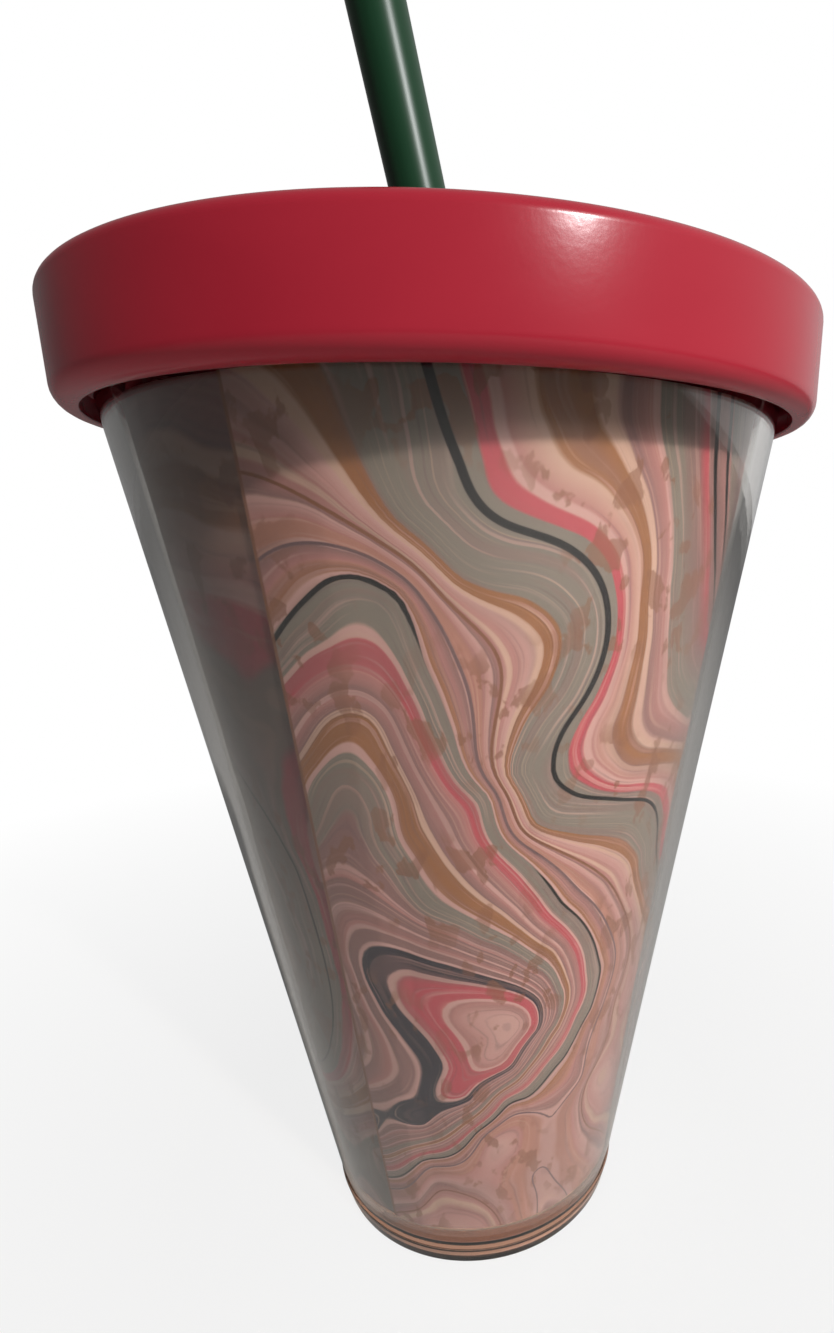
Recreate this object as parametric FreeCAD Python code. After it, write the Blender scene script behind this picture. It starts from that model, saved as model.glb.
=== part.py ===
import FreeCAD, Part
import math
import os

# Double-wall tumbler with a screw lid and a rigid straw, in millimetres.
# The origin is the centre of the foot on the table and +Z points up.
# The front of the cup faces -Y, and the straw's upper end leans towards -X.

# Cup: heights above the table and the taper of the outer wall
cup_height = 147.6            # rim that the drinker's lips touch
foot_radius = 28.1            # outer wall's radius where its line meets the table
shoulder_radius = 46.65       # outer wall's radius at the shell's top edge

# The walls from the outside in
shell_wall = 2.2
shell_foot_round = 0.3        # outer corner at the shell's lower edge
print_gap = 0.7               # air between the shell and the printed sheet
print_thickness = 0.35
liner_gap = 0.25              # air between the printed sheet and the liner
liner_wall = 1.9

# Liner
floor_height = 9.0            # underside of the drinking cup's floor
floor_thickness = 2.2
floor_round = 4.0             # outer corner between the floor and the wall
collar_wall = 2.1
collar_set_in = 0.25          # the collar stands back from the shell's face
rim_thickness = 2.4           # web that joins the liner's wall to the collar
rim_round = 0.5

# Foot disc that closes the shell from below
flange_height = 4.5
flange_lip = 0.3              # the flange stands proud of the shell's line
groove_height = 0.6           # thin groove between the flange and the shell
groove_depth = 0.8
spigot_height = 3.0           # ring that centres the shell
spigot_wall = 2.2
spigot_clearance = 0.1
foot_plate = 2.4
foot_recess = 0.8
foot_ring_width = 4.5         # the flat ring that the cup stands on
foot_round = 0.8

# Printed sheet, wrapped into a cone with its ends lapped
sheet_end_clearance = 0.3     # above the foot disc
sheet_top_clearance = 0.5     # below the shell's top edge
lap_deg = 10.0
lap_spare_deg = 2.0           # the raised end goes this far past the inner end
lap_ramp_deg = 6.0
lap_clearance = 0.07
seam_top_deg = 30.0           # from the front towards the left, at the top edge
seam_foot_deg = 34.0          # the same at the foot: the sheet's end runs askew

# Screw thread between the collar and the lid
thread_pitch = 4.0
thread_turns = 1.0
thread_depth = 1.35
thread_root_width = 1.6
thread_crest_width = 0.8
thread_clearance = 0.55       # crest to the facing wall
thread_flank_clearance = 0.35
thread_below_rim = 0.5        # rim to the upper end of the collar's thread
collar_spare = 0.7            # plain collar between the thread and the outer shell
thread_bite = 0.3             # how far each tooth is rooted in its wall
thread_start_deg = -10.0      # where the collar's tooth starts, seen from above, from +X
lid_thread_start_deg = 30.0   # the lid's tooth starts this far after the collar's

# Lid
lid_plate = 2.3
skirt_wall = 2.85             # at the skirt's lower edge
skirt_flare = 0.55            # the lower edge stands this far outside the top
skirt_height = 11.8
lid_edge_round = 1.4
skirt_edge_round = 2.0
skirt_inner_round = 0.3
lid_corner_round = 0.6
recess_margin = 6.1           # flat rim around the recess in the lid's top
recess_depth = 0.7
recess_slope = 1.2
plug_clearance = 0.4          # plug wall to the liner's mouth
plug_wall = 1.5
plug_depth = 4.0
straw_hole_clearance = 0.18    # around the leaning straw
straw_hole_round = 0.4

# Gasket between the lid and the rim
gasket_thickness = 1.2
gasket_clearance = 0.25       # to the plug wall
gasket_set_in = 0.3           # from the collar's outer face
gasket_seat = 0.05            # free space under and over the uncompressed ring
gasket_round = 0.24

# Straw
straw_radius = 3.75
straw_wall = 0.9
straw_length = 198.0
straw_lean_deg = 12.6
straw_azimuth_deg = 189.0     # direction that the upper end leans to, from +X
straw_offset = 0.5            # the leaning straw lies off the hole's centre
straw_end_round = 0.3
straw_wall_clearance = 3.2    # lower end to the liner's wall
straw_floor_clearance = 3.0
stop_ring_height = 22.0       # from the straw's lower end to the ring's middle
stop_ring_radius = 5.4
stop_ring_width = 2.0
stop_ring_slope = 1.6
stop_ring_clearance = 0.4     # ring to the lid when the straw is pulled up

# Heights and radii that follow from the sizes above
collar_height = thread_below_rim + thread_root_width + thread_pitch * thread_turns + collar_spare
shell_top = cup_height - collar_height
shell_foot = flange_height + groove_height
taper = (shoulder_radius - foot_radius) / shell_top
spigot_top = shell_foot + spigot_height
collar_radius = shoulder_radius - collar_set_in
lid_bore = collar_radius + thread_depth + thread_clearance
thread_flank = (thread_root_width - thread_crest_width) / (2 * thread_depth)
thread_start = cup_height - thread_below_rim - thread_root_width / 2 - thread_pitch * thread_turns
lid_underside = cup_height + gasket_thickness + 2 * gasket_seat
lid_top = lid_underside + lid_plate
skirt_bottom = lid_top - skirt_height
lid_skirt_radius = lid_bore + skirt_wall
lid_top_radius = lid_skirt_radius - skirt_flare
recess_radius = lid_top_radius - recess_margin
plate_at_hole = lid_plate - recess_depth
straw_lean = math.radians(straw_lean_deg)
straw_hole_radius = straw_radius / math.cos(straw_lean) + plate_at_hole / 2 * math.tan(straw_lean)
straw_hole_radius += straw_offset + straw_hole_clearance
ORIGIN = FreeCAD.Vector(0, 0, 0)
UP = FreeCAD.Vector(0, 0, 1)


def shell_outer(height):
    """Radius of the outer shell's outer face."""
    return foot_radius + taper * height


def shell_inner(height):
    return shell_outer(height) - shell_wall


def sheet_outer(height):
    return shell_inner(height) - print_gap


def liner_outer(height):
    return sheet_outer(height) - print_thickness - liner_gap


def liner_inner(height):
    return liner_outer(height) - liner_wall


mouth_radius = liner_inner(shell_top)
plug_radius = mouth_radius - plug_clearance


def turned(outline):
    """Solid of revolution about +Z from a closed outline of (radius, height) points."""
    points = [FreeCAD.Vector(radius, 0, height) for radius, height in outline]
    face = Part.Face(Part.makePolygon(points + points[:1]))
    return face.revolve(ORIGIN, UP, 360)


def rounded(solid, size, *rings):
    """Round the circular edges that have one of the given (radius, height) pairs."""
    edges = []
    for edge in solid.Edges:
        if not isinstance(edge.Curve, Part.Circle):
            continue
        for radius, height in rings:
            same_radius = abs(edge.Curve.Radius - radius) < 1e-4
            same_height = abs(edge.Curve.Center.z - height) < 1e-4
            if same_radius and same_height:
                edges.append(edge)
    return solid.makeFillet(size, edges)


def thread_tooth(wall_radius, outward, middle_height, start_deg, turns):
    """One helical tooth rooted in a round wall; outward is 1 on a collar and -1 in a bore."""
    crest = thread_crest_width / 2
    root = crest + thread_flank * (thread_depth + thread_bite)
    buried = wall_radius - outward * thread_bite
    tip = wall_radius + outward * thread_depth
    section = [(buried, -root), (tip, -crest), (tip, crest), (buried, root)]
    points = [FreeCAD.Vector(radius, 0, height) for radius, height in section]
    profile = Part.makePolygon(points + points[:1])
    helix = Part.Wire(Part.makeHelix(thread_pitch, thread_pitch * turns, wall_radius).Edges)
    tooth = helix.makePipeShell([profile], True, True)
    tooth.rotate(ORIGIN, UP, start_deg)
    tooth.translate(FreeCAD.Vector(0, 0, middle_height))
    return tooth


def make_outer_shell():
    """Clear tapered tube, open at both ends."""
    shell = turned([
        (shell_outer(shell_foot), shell_foot),
        (shell_outer(shell_top), shell_top),
        (shell_inner(shell_top), shell_top),
        (shell_inner(shell_foot), shell_foot),
    ])
    return rounded(shell, shell_foot_round, (shell_outer(shell_foot), shell_foot))


def make_base_disc():
    """Clear foot disc with a standing ring, a groove under the shell and a spigot inside it."""
    ring_inner = foot_radius - foot_ring_width
    flange_radius = shell_outer(flange_height) + flange_lip
    ledge = shell_outer(shell_foot) - groove_depth
    spigot = shell_inner(shell_foot) - spigot_clearance
    bore = spigot - spigot_wall
    plate_top = foot_recess + foot_plate
    disc = turned([
        (0, foot_recess),
        (ring_inner, foot_recess),
        (ring_inner, 0),
        (foot_radius, 0),
        (flange_radius, flange_height),
        (ledge, flange_height),
        (ledge, shell_foot),
        (spigot, shell_foot),
        (spigot, spigot_top),
        (bore, spigot_top),
        (bore, plate_top),
        (0, plate_top),
    ])
    disc = rounded(disc, foot_round, (foot_radius, 0))
    return rounded(disc, flange_lip, (flange_radius, flange_height))


def make_inner_liner():
    """Clear drinking cup whose rim turns down into the threaded collar."""
    collar_inner = collar_radius - collar_wall
    web_height = cup_height - rim_thickness
    floor_top = floor_height + floor_thickness
    liner = turned([
        (0, floor_height),
        (liner_outer(floor_height), floor_height),
        (liner_outer(shell_top), shell_top),
        (liner_outer(shell_top), web_height),
        (collar_inner, web_height),
        (collar_inner, shell_top),
        (collar_radius, shell_top),
        (collar_radius, cup_height),
        (mouth_radius, cup_height),
        (mouth_radius, shell_top),
        (liner_inner(floor_top), floor_top),
        (0, floor_top),
    ])
    liner = rounded(liner, floor_round, (liner_outer(floor_height), floor_height))
    liner = rounded(liner, floor_round - liner_wall, (liner_inner(floor_top), floor_top))
    liner = rounded(liner, rim_round, (mouth_radius, cup_height), (collar_radius, cup_height))
    return liner.fuse(thread_tooth(collar_radius, 1, thread_start, thread_start_deg, thread_turns))


def sheet_outline(height, seam_deg):
    """Closed wire of the wrapped sheet's section, from its raised free end round to its inner end."""
    raised = print_thickness + lap_clearance
    outer = sheet_outer(height)
    inner = outer - print_thickness
    free_end = 270 - seam_deg
    ramp_start = free_end + lap_deg + lap_spare_deg
    ramp_end = ramp_start + lap_ramp_deg
    inner_end = free_end + 360 + lap_deg
    third = (inner_end - ramp_end) / 3

    def point(radius, angle):
        turn = math.radians(angle)
        return FreeCAD.Vector(radius * math.cos(turn), radius * math.sin(turn), height)

    def arc(radius, start, end):
        return Part.Arc(point(radius, start), point(radius, (start + end) / 2), point(radius, end)).toShape()

    def line(start, end):
        return Part.LineSegment(start, end).toShape()

    edges = [
        arc(outer + raised, free_end, ramp_start),
        line(point(outer + raised, ramp_start), point(outer, ramp_end)),
    ]
    for step in range(3):
        edges.append(arc(outer, ramp_end + step * third, ramp_end + (step + 1) * third))
    edges.append(line(point(outer, inner_end), point(inner, inner_end)))
    for step in range(3):
        edges.append(arc(inner, inner_end - step * third, inner_end - (step + 1) * third))
    edges += [
        line(point(inner, ramp_end), point(inner + raised, ramp_start)),
        arc(inner + raised, ramp_start, free_end),
        line(point(inner + raised, free_end), point(outer + raised, free_end)),
    ]
    return Part.Wire(edges)


def make_printed_insert():
    """Printed plastic sheet rolled into a cone between the walls, its ends lapped at the front left."""
    foot = sheet_outline(spigot_top + sheet_end_clearance, seam_foot_deg)
    top = sheet_outline(shell_top - sheet_top_clearance, seam_top_deg)
    return Part.makeLoft([foot, top], True, True)


def make_lid():
    """Screw lid: plate with a straw hole, deep skirt, plug wall and a thread inside the skirt."""
    plug_inner = plug_radius - plug_wall
    plug_bottom = lid_underside - plug_depth
    recess_floor = lid_top - recess_depth
    lid = turned([
        (0, recess_floor),
        (recess_radius - recess_slope, recess_floor),
        (recess_radius, lid_top),
        (lid_top_radius, lid_top),
        (lid_skirt_radius, skirt_bottom),
        (lid_bore, skirt_bottom),
        (lid_bore, lid_underside),
        (plug_radius, lid_underside),
        (plug_radius, plug_bottom),
        (plug_inner, plug_bottom),
        (plug_inner, lid_underside),
        (0, lid_underside),
    ])
    lid = rounded(lid, lid_edge_round, (lid_top_radius, lid_top))
    lid = rounded(lid, skirt_edge_round, (lid_skirt_radius, skirt_bottom))
    lid = rounded(lid, skirt_inner_round, (lid_bore, skirt_bottom))
    lid = rounded(lid, lid_corner_round, (lid_bore, lid_underside))
    hole = Part.makeCylinder(straw_hole_radius, lid_top, ORIGIN, UP)
    lid = lid.cut(hole)
    lid = rounded(lid, straw_hole_round, (straw_hole_radius, lid_underside), (straw_hole_radius, recess_floor))
    facing_width = thread_root_width - thread_flank * (thread_depth + thread_clearance)
    start = thread_start - facing_width - thread_flank_clearance
    start += thread_pitch * lid_thread_start_deg / 360
    turns = thread_turns - lid_thread_start_deg / 360
    start_deg = thread_start_deg + lid_thread_start_deg
    return lid.fuse(thread_tooth(lid_bore, -1, start, start_deg, turns))


def make_lid_gasket():
    """Soft sealing ring that lies between the rim and the lid's plate."""
    inner = plug_radius + gasket_clearance
    outer = collar_radius - gasket_set_in
    bottom = cup_height + gasket_seat
    top = bottom + gasket_thickness
    ring = turned([(inner, bottom), (outer, bottom), (outer, top), (inner, top)])
    corners = [(inner, bottom), (outer, bottom), (outer, top), (inner, top)]
    return rounded(ring, gasket_round, *corners)


def straw_drop():
    """Height from the hole down to the straw's lower end, where it meets the liner's wall or floor."""
    hole_height = lid_underside + plate_at_hole / 2
    edge_rise = straw_radius * math.sin(straw_lean)
    edge_reach = straw_radius * math.cos(straw_lean) + straw_wall_clearance + straw_offset
    to_wall = (liner_inner(hole_height + edge_rise) - edge_reach) / (math.tan(straw_lean) + taper)
    to_floor = hole_height - floor_height - floor_thickness - edge_rise - straw_floor_clearance
    return min(to_wall, to_floor)


def make_straw():
    """Rigid tube with a moulded stop ring near its lower end, leaning in the lid's hole."""
    ring_low = stop_ring_height - stop_ring_width / 2
    ring_high = stop_ring_height + stop_ring_width / 2
    bore = straw_radius - straw_wall
    straw = turned([
        (bore, 0),
        (straw_radius, 0),
        (straw_radius, ring_low - stop_ring_slope),
        (stop_ring_radius, ring_low),
        (stop_ring_radius, ring_high),
        (straw_radius, ring_high + stop_ring_slope),
        (straw_radius, straw_length),
        (bore, straw_length),
    ])
    straw = rounded(straw, straw_end_round, (straw_radius, 0), (straw_radius, straw_length))
    azimuth = math.radians(straw_azimuth_deg)
    along = FreeCAD.Vector(math.cos(azimuth), math.sin(azimuth), 0)
    axis = along * math.sin(straw_lean) + UP * math.cos(straw_lean)
    hole_height = lid_underside + plate_at_hole / 2
    through_hole = UP * hole_height - along * straw_offset
    below_hole = straw_drop() / math.cos(straw_lean)
    lower_end = through_hole - axis * below_hole
    straw.Placement = FreeCAD.Placement(lower_end, FreeCAD.Rotation(UP, axis))
    ring_top = stop_ring_height + stop_ring_width / 2 + stop_ring_radius * math.tan(straw_lean)
    to_lid = below_hole - (hole_height - lid_underside) / math.cos(straw_lean)
    travel = to_lid - ring_top - stop_ring_clearance
    print("straw axis", [round(value, 5) for value in axis], "travel", round(travel, 2))
    print("straw lower end", [round(value, 2) for value in lower_end])
    print("straw upper end", [round(value, 2) for value in lower_end + axis * straw_length])
    return straw


os.makedirs("parts", exist_ok=True)
parts = {
    "outer_shell": make_outer_shell(),
    "base_disc": make_base_disc(),
    "inner_liner": make_inner_liner(),
    "printed_insert": make_printed_insert(),
    "lid": make_lid(),
    "lid_gasket": make_lid_gasket(),
    "straw": make_straw(),
}

for name, shape in parts.items():
    shape.exportStep(os.path.join("parts", name + ".step"))
    print(name, shape.ShapeType, len(shape.Solids), "valid", shape.isValid(), "volume", round(shape.Volume, 1))
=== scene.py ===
import math

import bmesh
import bpy
import numpy as np
from mathutils import Matrix, Vector


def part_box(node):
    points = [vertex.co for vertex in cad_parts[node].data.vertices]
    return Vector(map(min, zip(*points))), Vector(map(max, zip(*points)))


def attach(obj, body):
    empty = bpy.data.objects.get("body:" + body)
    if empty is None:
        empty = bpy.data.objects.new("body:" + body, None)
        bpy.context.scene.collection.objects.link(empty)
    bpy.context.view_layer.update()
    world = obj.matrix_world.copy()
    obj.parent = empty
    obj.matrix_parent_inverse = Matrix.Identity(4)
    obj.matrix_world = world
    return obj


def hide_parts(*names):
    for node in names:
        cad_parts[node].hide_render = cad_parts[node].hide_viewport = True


# Double-wall tumbler with a screw lid and a rigid straw. Sizes are in millimetres unless a
# name says otherwise, and each mesh is turned into metres as it is made. +Z is the cup's axis,
# -Y its front and +X its right.
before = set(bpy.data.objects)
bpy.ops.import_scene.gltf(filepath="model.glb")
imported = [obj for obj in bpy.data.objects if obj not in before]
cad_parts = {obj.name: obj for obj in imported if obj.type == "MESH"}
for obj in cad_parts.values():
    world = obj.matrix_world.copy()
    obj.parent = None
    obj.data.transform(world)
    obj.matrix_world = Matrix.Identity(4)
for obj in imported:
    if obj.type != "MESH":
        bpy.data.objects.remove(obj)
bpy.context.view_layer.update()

# Camera. It stands close to the cup, a little below the height of the lid, and looks down
# along the body. The sizes in pixels are those of the 834 x 1333 photograph.
photo_width_px = 834
photo_height_px = 1333
focal_px = 707.57
centre_px = (534.52, 811.92)
camera_place_m = Vector((0, -0.12053, 0.12537))
camera_yaw = 0.1030
camera_pitch = 0.3717
camera_roll = 0.0030
sensor_mm = 36.0
nearest_seen_m = 0.005

ahead = Vector((
    math.sin(camera_yaw) * math.cos(camera_pitch),
    math.cos(camera_yaw) * math.cos(camera_pitch),
    -math.sin(camera_pitch),
))
level_right = Vector((math.cos(camera_yaw), -math.sin(camera_yaw), 0))
level_up = level_right.cross(ahead)
right = level_right * math.cos(camera_roll) + level_up * math.sin(camera_roll)
above = level_up * math.cos(camera_roll) - level_right * math.sin(camera_roll)
camera_data = bpy.data.cameras.new("camera")
camera_data.sensor_width = sensor_mm
camera_data.lens = sensor_mm * focal_px / photo_height_px
camera_data.shift_x = (photo_width_px / 2 - centre_px[0]) / photo_height_px
camera_data.shift_y = (centre_px[1] - photo_height_px / 2) / photo_height_px
camera_data.clip_start = nearest_seen_m
camera = bpy.data.objects.new("camera", camera_data)
turn = Matrix((right, above, -ahead)).transposed().to_4x4()
camera.matrix_world = Matrix.Translation(camera_place_m) @ turn
bpy.context.scene.collection.objects.link(camera)
bpy.context.scene.camera = camera
bpy.context.scene.view_settings.view_transform = "Standard"

# Foot disc. It is a clear acrylic moulding that closes the outer shell from below: a ring
# that the cup stands on, a thin groove under the shell, and a spigot pushed up inside it.
# Its underside has a shallow dimple where the plastic was let into the mould.
cup_height = 147.6
shell_top = 140.8
foot_radius = 28.1
shoulder_radius = 46.65
taper = (shoulder_radius - foot_radius) / shell_top
shell_wall = 2.2
flange_height = 4.5
flange_lip = 0.3
groove_height = 0.6
groove_depth = 0.8
foot_plate = 2.4
foot_recess = 0.8
foot_ring_width = 4.5
spigot_height = 3.0
spigot_wall = 2.2
spigot_clearance = 0.1
shell_foot = flange_height + groove_height
gate_radius = 2.6
gate_dimple = 0.35
around = 288
arc_steps = 7
soft_edge_deg = 34
mm_per_m = 1000


def shell_outer(height):
    """Radius of the outer shell's outer face."""
    return foot_radius + taper * height


def rounded_outline(corners):
    """Outline from (radius, height, rounding) corners, with an arc in place of each rounded one."""
    outline = []
    for index, (radius, height, rounding) in enumerate(corners):
        corner = Vector((radius, height))
        if rounding == 0:
            outline.append(corner)
            continue
        back = (Vector(corners[index - 1][:2]) - corner).normalized()
        on = (Vector(corners[(index + 1) % len(corners)][:2]) - corner).normalized()
        half = back.angle(on) / 2
        centre = corner + (back + on).normalized() * rounding / math.sin(half)
        start = corner + back * rounding / math.tan(half) - centre
        end = corner + on * rounding / math.tan(half) - centre
        first = math.atan2(start.y, start.x)
        sweep = math.atan2(end.y, end.x) - first
        sweep = (sweep + math.pi) % (2 * math.pi) - math.pi
        for step in range(arc_steps + 1):
            angle = first + sweep * step / arc_steps
            outline.append(centre + rounding * Vector((math.cos(angle), math.sin(angle))))
    return outline


def finished(name, vertices, faces):
    """Object from points in millimetres, with its faces turned outwards and its soft edges smooth."""
    mesh = bpy.data.meshes.new(name)
    mesh.from_pydata([tuple(value / mm_per_m for value in vertex) for vertex in vertices], [], faces)
    shape = bmesh.new()
    shape.from_mesh(mesh)
    bmesh.ops.recalc_face_normals(shape, faces=shape.faces)
    shape.to_mesh(mesh)
    shape.free()
    mesh.shade_smooth()
    mesh.set_sharp_from_angle(angle=math.radians(soft_edge_deg))
    piece = bpy.data.objects.new(name, mesh)
    bpy.context.scene.collection.objects.link(piece)
    return piece


def turned(name, outline):
    """Closed shape turned about +Z from an outline of (radius, height) points."""
    vertices = []
    rings = []
    for radius, height in outline:
        count = around if radius > 0 else 1
        rings.append(range(len(vertices), len(vertices) + count))
        for step in range(count):
            angle = 2 * math.pi * step / around
            vertices.append((radius * math.cos(angle), radius * math.sin(angle), height))
    faces = []
    for low, high in zip(rings, rings[1:] + rings[:1]):
        if len(low) == 1 and len(high) == 1:
            continue
        for step in range(around):
            after = (step + 1) % around
            if len(low) == 1:
                faces.append((low[0], high[after], high[step]))
            elif len(high) == 1:
                faces.append((low[step], low[after], high[0]))
            else:
                faces.append((low[step], low[after], high[after], high[step]))
    return finished(name, vertices, faces)


def colour(code):
    """Linear colour from an sRGB hex value."""
    parts = [int(code[place:place + 2], 16) / 255 for place in (1, 3, 5)]
    return [part / 12.92 if part <= 0.04045 else ((part + 0.055) / 1.055) ** 2.4 for part in parts] + [1]


def put(tree, kind, sockets=None, **settings):
    """Node with its own settings, and its sockets set to values or linked to other nodes' outputs."""
    node = tree.nodes.new(kind)
    for name, value in settings.items():
        setattr(node, name, value)
    for key, value in (sockets or {}).items():
        if isinstance(value, bpy.types.NodeSocket):
            tree.links.new(value, node.inputs[key])
        else:
            node.inputs[key].default_value = value
    return node


def material(name):
    """Empty material with its output node."""
    made = bpy.data.materials.new(name)
    made.use_nodes = True
    made.node_tree.nodes.clear()
    return made, made.node_tree, put(made.node_tree, "ShaderNodeOutputMaterial")


# Clear acrylic, injection moulded and polished. The eye gets sharp reflections, bright edges
# where the wall is seen along its length, faint flow lines and fine scratches from washing.
# Light that falls through the wall on the sheet behind it isn't bent, so the sheet is lit.
acrylic_ior = 1.49
acrylic_flow_scale = (60, 60, 9)
acrylic_scratch_scale = (260, 260, 2600)
acrylic_scratch_tilt = 0.2
acrylic_shade = "#f2eeea"


def moulded_acrylic(name, tint):
    """Clear acrylic of one tint, in which light is coloured where it passes a face."""
    made, tree, output = material(name)
    place = put(tree, "ShaderNodeTexCoord").outputs["Object"]
    flow = put(tree, "ShaderNodeTexNoise", {
        "Vector": put(tree, "ShaderNodeMapping", {"Vector": place, "Scale": acrylic_flow_scale}).outputs[0],
        "Scale": 1.0, "Detail": 3.0, "Distortion": 0.6,
    })
    scratch = put(tree, "ShaderNodeTexNoise", {
        "Vector": put(tree, "ShaderNodeMapping", {
            "Vector": place, "Rotation": (0, acrylic_scratch_tilt, 0), "Scale": acrylic_scratch_scale,
        }).outputs[0],
        "Scale": 1.0, "Detail": 2.0,
    })
    haze = put(tree, "ShaderNodeMapRange", {
        "Value": scratch.outputs["Fac"], "From Min": 0.62, "From Max": 0.8,
        "To Min": 0.015, "To Max": 0.12,
    })
    ripple = put(tree, "ShaderNodeBump", {
        "Height": flow.outputs["Fac"], "Strength": 0.12, "Distance": 0.0004,
    })
    glassy = put(tree, "ShaderNodeBsdfPrincipled", {
        "Base Color": colour(tint), "Transmission Weight": 1.0, "IOR": acrylic_ior,
        "Roughness": haze.outputs[0], "Normal": ripple.outputs[0],
    })
    shade = put(tree, "ShaderNodeBsdfTransparent", {"Color": colour(acrylic_shade)})
    clear = put(tree, "ShaderNodeMixShader", {
        0: put(tree, "ShaderNodeLightPath").outputs["Is Shadow Ray"],
        1: glassy.outputs[0], 2: shade.outputs[0],
    })
    tree.links.new(clear.outputs[0], output.inputs["Surface"])
    return made


acrylic = moulded_acrylic("clear acrylic, moulded", "#fbf8f4")
foot_acrylic = moulded_acrylic("clear acrylic, moulded, warm tint", "#dcb9a6")

ring_inner = foot_radius - foot_ring_width
flange_radius = shell_outer(flange_height) + flange_lip
ledge = shell_outer(shell_foot) - groove_depth
spigot = shell_outer(shell_foot) - shell_wall - spigot_clearance
spigot_top = shell_foot + spigot_height
plate_top = foot_recess + foot_plate
base_disc = turned("base_disc_moulding", rounded_outline([
    (0, foot_recess + gate_dimple, 0),
    (gate_radius - gate_dimple, foot_recess + gate_dimple, 0),
    (gate_radius, foot_recess, 0),
    (ring_inner, foot_recess, 0.3),
    (ring_inner, 0, 0.25),
    (foot_radius, 0, 0.8),
    (flange_radius, flange_height, 0.3),
    (ledge, flange_height, 0.1),
    (ledge, shell_foot, 0),
    (spigot, shell_foot, 0),
    (spigot, spigot_top, 0.3),
    (spigot - spigot_wall, spigot_top, 0.3),
    (spigot - spigot_wall, plate_top, 0.5),
    (0, plate_top, 0),
]))
base_disc.data.materials.append(foot_acrylic)
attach(base_disc, "cup")
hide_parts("base_disc")

# Outer shell. It is a clear tapered tube of the same acrylic, drawn out of its mould with
# edges that are only just broken, and it stands on the foot disc's ledge.
shell_round = 0.3
outer_shell = turned("outer_shell_moulding", rounded_outline([
    (shell_outer(shell_foot), shell_foot, shell_round),
    (shell_outer(shell_top), shell_top, 0),
    (shell_outer(shell_top) - shell_wall, shell_top, 0),
    (shell_outer(shell_foot) - shell_wall, shell_foot, 0),
]))
outer_shell.data.materials.append(acrylic)
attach(outer_shell, "cup")
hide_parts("outer_shell")

# Printed sheet. It is a thin polypropylene film, printed on its outside, rolled into a cone
# between the walls and lapped at the front left, where its free end lies over the inner one.
print_gap = 0.7
print_thickness = 0.35
sheet_foot_gap = 0.3
sheet_head_gap = 0.5
sheet_foot = spigot_top + sheet_foot_gap
sheet_head = shell_top - sheet_head_gap
seam_head_deg = 30.0
seam_foot_deg = 34.0
lap_deg = 10.0
lap_raised_deg = 12.0
lap_ramp_deg = 6.0
lap_clearance = 0.07
lap_lift = print_thickness + lap_clearance
sheet_step_deg = 1.25
sheet_rows = 110
flat_mm_per_radian = 35.0


def sheet_outer(height):
    """Radius of the wrapped sheet's printed face."""
    return shell_outer(height) - shell_wall - print_gap


def sheet_places():
    """Angles from the free end round to the inner end, in degrees, with the ramp's ends among them."""
    whole = 360 + lap_deg
    angles = [sheet_step_deg * step for step in range(int(whole / sheet_step_deg) + 1)]
    angles += [lap_raised_deg, lap_raised_deg + lap_ramp_deg, whole]
    return sorted(set(angles))


angles = sheet_places()
heights = [sheet_foot + (sheet_head - sheet_foot) * row / sheet_rows for row in range(sheet_rows + 1)]
vertices = []
flat_places = []
for depth in (0, print_thickness):
    for height in heights:
        share = (height - sheet_foot) / (sheet_head - sheet_foot)
        seam = -math.radians(seam_foot_deg + (seam_head_deg - seam_foot_deg) * share)
        for angle in angles:
            off_ramp = (lap_raised_deg + lap_ramp_deg - angle) / lap_ramp_deg
            lift = lap_lift * min(max(off_ramp, 0), 1)
            radius = sheet_outer(height) + lift - depth
            turned_by = seam + math.radians(angle)
            vertices.append((radius * math.sin(turned_by), -radius * math.cos(turned_by), height))
            flat_places.append((flat_mm_per_radian * turned_by, height))
columns = len(angles)
face_size = columns * len(heights)
faces = []
for row in range(sheet_rows):
    for column in range(columns - 1):
        low = row * columns + column
        faces.append((low, low + 1, low + 1 + columns, low + columns))
        faces.append(tuple(face_size + place for place in (low, low + columns, low + 1 + columns, low + 1)))
    for column in (0, columns - 1):
        low = row * columns + column
        faces.append((low, low + columns, low + columns + face_size, low + face_size))
for column in range(columns - 1):
    for row in (0, sheet_rows):
        low = row * columns + column
        faces.append((low, low + 1, low + 1 + face_size, low + face_size))
printed_insert = finished("printed_insert_sheet", vertices, faces)

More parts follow.
